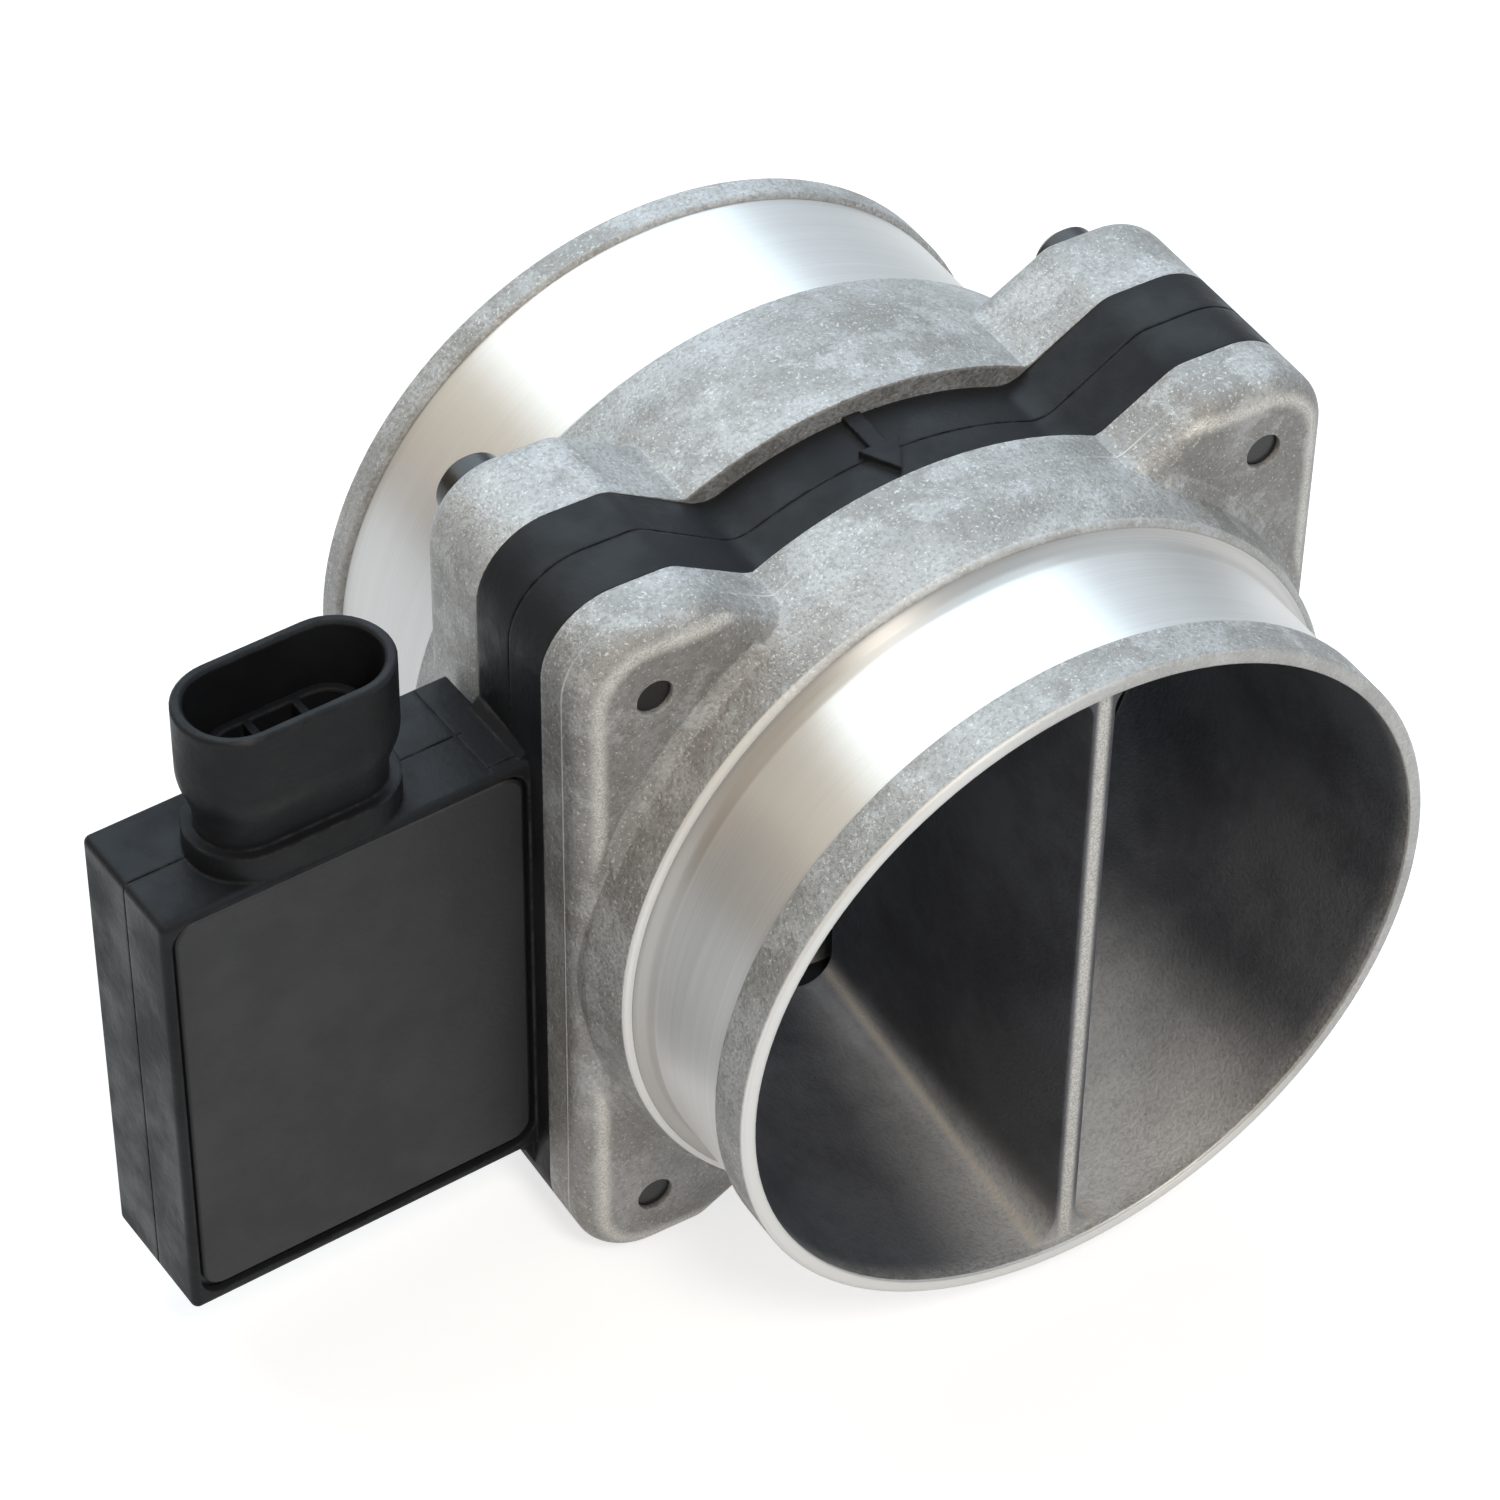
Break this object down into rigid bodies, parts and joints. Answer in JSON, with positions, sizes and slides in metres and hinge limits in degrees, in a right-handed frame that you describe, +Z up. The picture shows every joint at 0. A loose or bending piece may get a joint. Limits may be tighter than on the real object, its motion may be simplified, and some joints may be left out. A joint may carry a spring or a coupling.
{
  "type": "mass airflow sensor",
  "caption": "Mass airflow sensor: cast aluminium housings bolted either side of a black moulded body with a side module box and an upright connector.",
  "frame": {"origin": "centre of the outlet spigot's end face, on the bore axis", "axes": "+Y along the bore from the outlet to the inlet, +Z up towards the connector's mouth, the module box towards -X"},
  "size_m": [0.159, 0.1055, 0.1074],
  "materials": {
    "cast_aluminium": "as cast, with machined bands",
    "body_plastic": "moulded, low sheen",
    "lid_plastic": "matte charcoal",
    "seal_rubber": "matte",
    "sealant": "satin",
    "black_steel": "black coated, satin",
    "plate_aluminium": "satin",
    "board": "satin",
    "chip_plastic": "matte",
    "can_aluminium": "satin",
    "terminal_metal": "tinned",
    "carrier_plastic": "matte",
    "lead_metal": "satin",
    "ceramic": "glazed",
    "bead_glass": "glossy"
  },
  "bodies": {
    "root": {"outlet_housing": "cast_aluminium", "inlet_housing": "cast_aluminium", "sensor_body": "body_plastic", "outlet_seal": "seal_rubber", "inlet_seal": "seal_rubber", "housing_screws": "black_steel", "module_lid": "lid_plastic", "lid_sealant": "sealant", "heat_sink": "plate_aluminium", "circuit_board": "board", "control_chip": "chip_plastic", "power_transistor": "chip_plastic", "capacitors": "can_aluminium", "terminal_1": "terminal_metal", "terminal_2": "terminal_metal", "terminal_3": "terminal_metal", "element_carrier": "carrier_plastic", "element_lead_1": "lead_metal", "element_lead_2": "lead_metal", "element_lead_3": "lead_metal", "element_lead_4": "lead_metal", "element_lead_5": "lead_metal", "element_lead_6": "lead_metal", "heated_element_1": "ceramic", "heated_element_2": "ceramic", "air_temperature_element": "bead_glass"}
  },
  "joints": []
}
